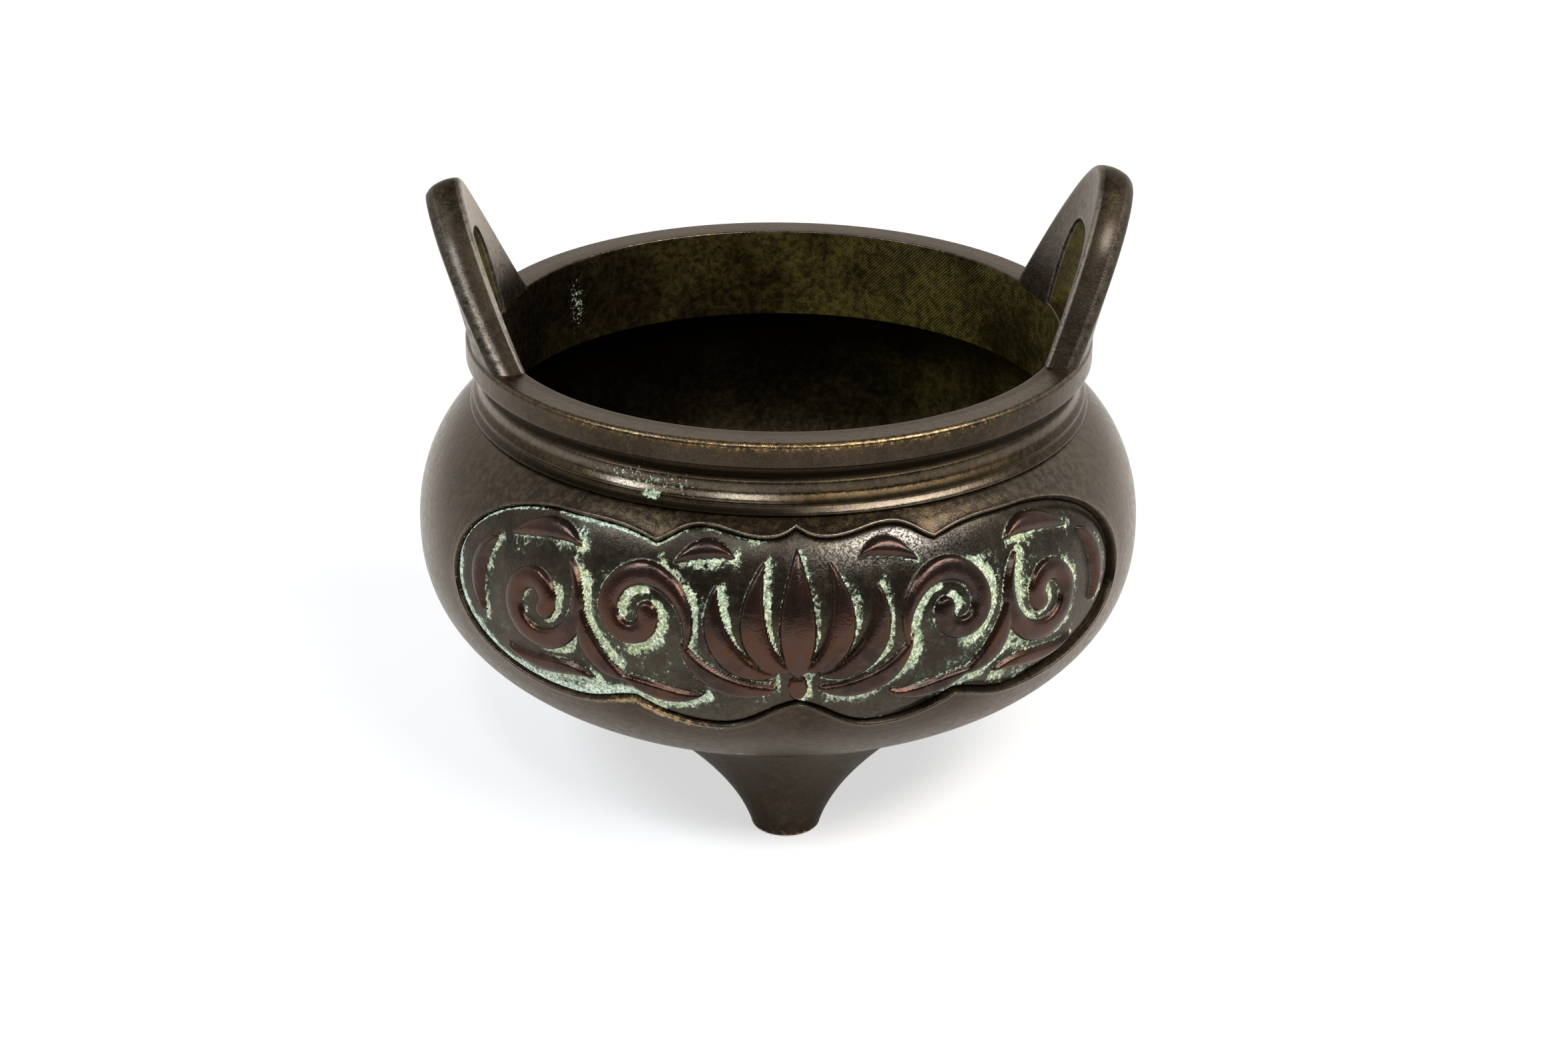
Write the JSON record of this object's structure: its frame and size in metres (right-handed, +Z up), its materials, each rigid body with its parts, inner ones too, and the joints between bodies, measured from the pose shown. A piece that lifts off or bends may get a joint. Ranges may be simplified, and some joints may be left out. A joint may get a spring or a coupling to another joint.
{
  "type": "tripod incense burner",
  "caption": "Round-bellied bronze censer bowl on a tripod of flared feet, with upright loop ears on its rim and lobed relief panels let into the belly.",
  "frame": {"origin": "on the floor under the middle of the bowl, halfway between the ears", "axes": "+Z up; -Y towards the front foot and the front panel; the ears stand at +X and -X"},
  "size_m": [0.1394, 0.1394, 0.1204],
  "materials": {
    "bowl_bronze": "satin dark brown patina, gold where the rim and ridges are worn, specks of pale green verdigris",
    "relief_bronze": "polished red-brown relief on a dull ground with yellow-green and turquoise verdigris",
    "ear_bronze": "finely pitted satin black-brown patina with pale worn edges",
    "foot_bronze": "satin dark brown patina with reddish mottling, worn gold at the sole's edge",
    "fixing_bronze": "dull olive-brown"
  },
  "bodies": {
    "root": {"bowl": "bowl_bronze", "collar": "bowl_bronze", "front_panel": "relief_bronze", "rear_panel": "relief_bronze", "ear_right": "ear_bronze", "ear_left": "ear_bronze", "ear_pin_right_a": "fixing_bronze", "ear_pin_right_b": "fixing_bronze", "ear_pin_left_a": "fixing_bronze", "ear_pin_left_b": "fixing_bronze", "foot_front": "foot_bronze", "foot_rear_right": "foot_bronze", "foot_rear_left": "foot_bronze", "foot_rivet_front": "fixing_bronze", "foot_rivet_rear_right": "fixing_bronze", "foot_rivet_rear_left": "fixing_bronze"}
  },
  "joints": []
}
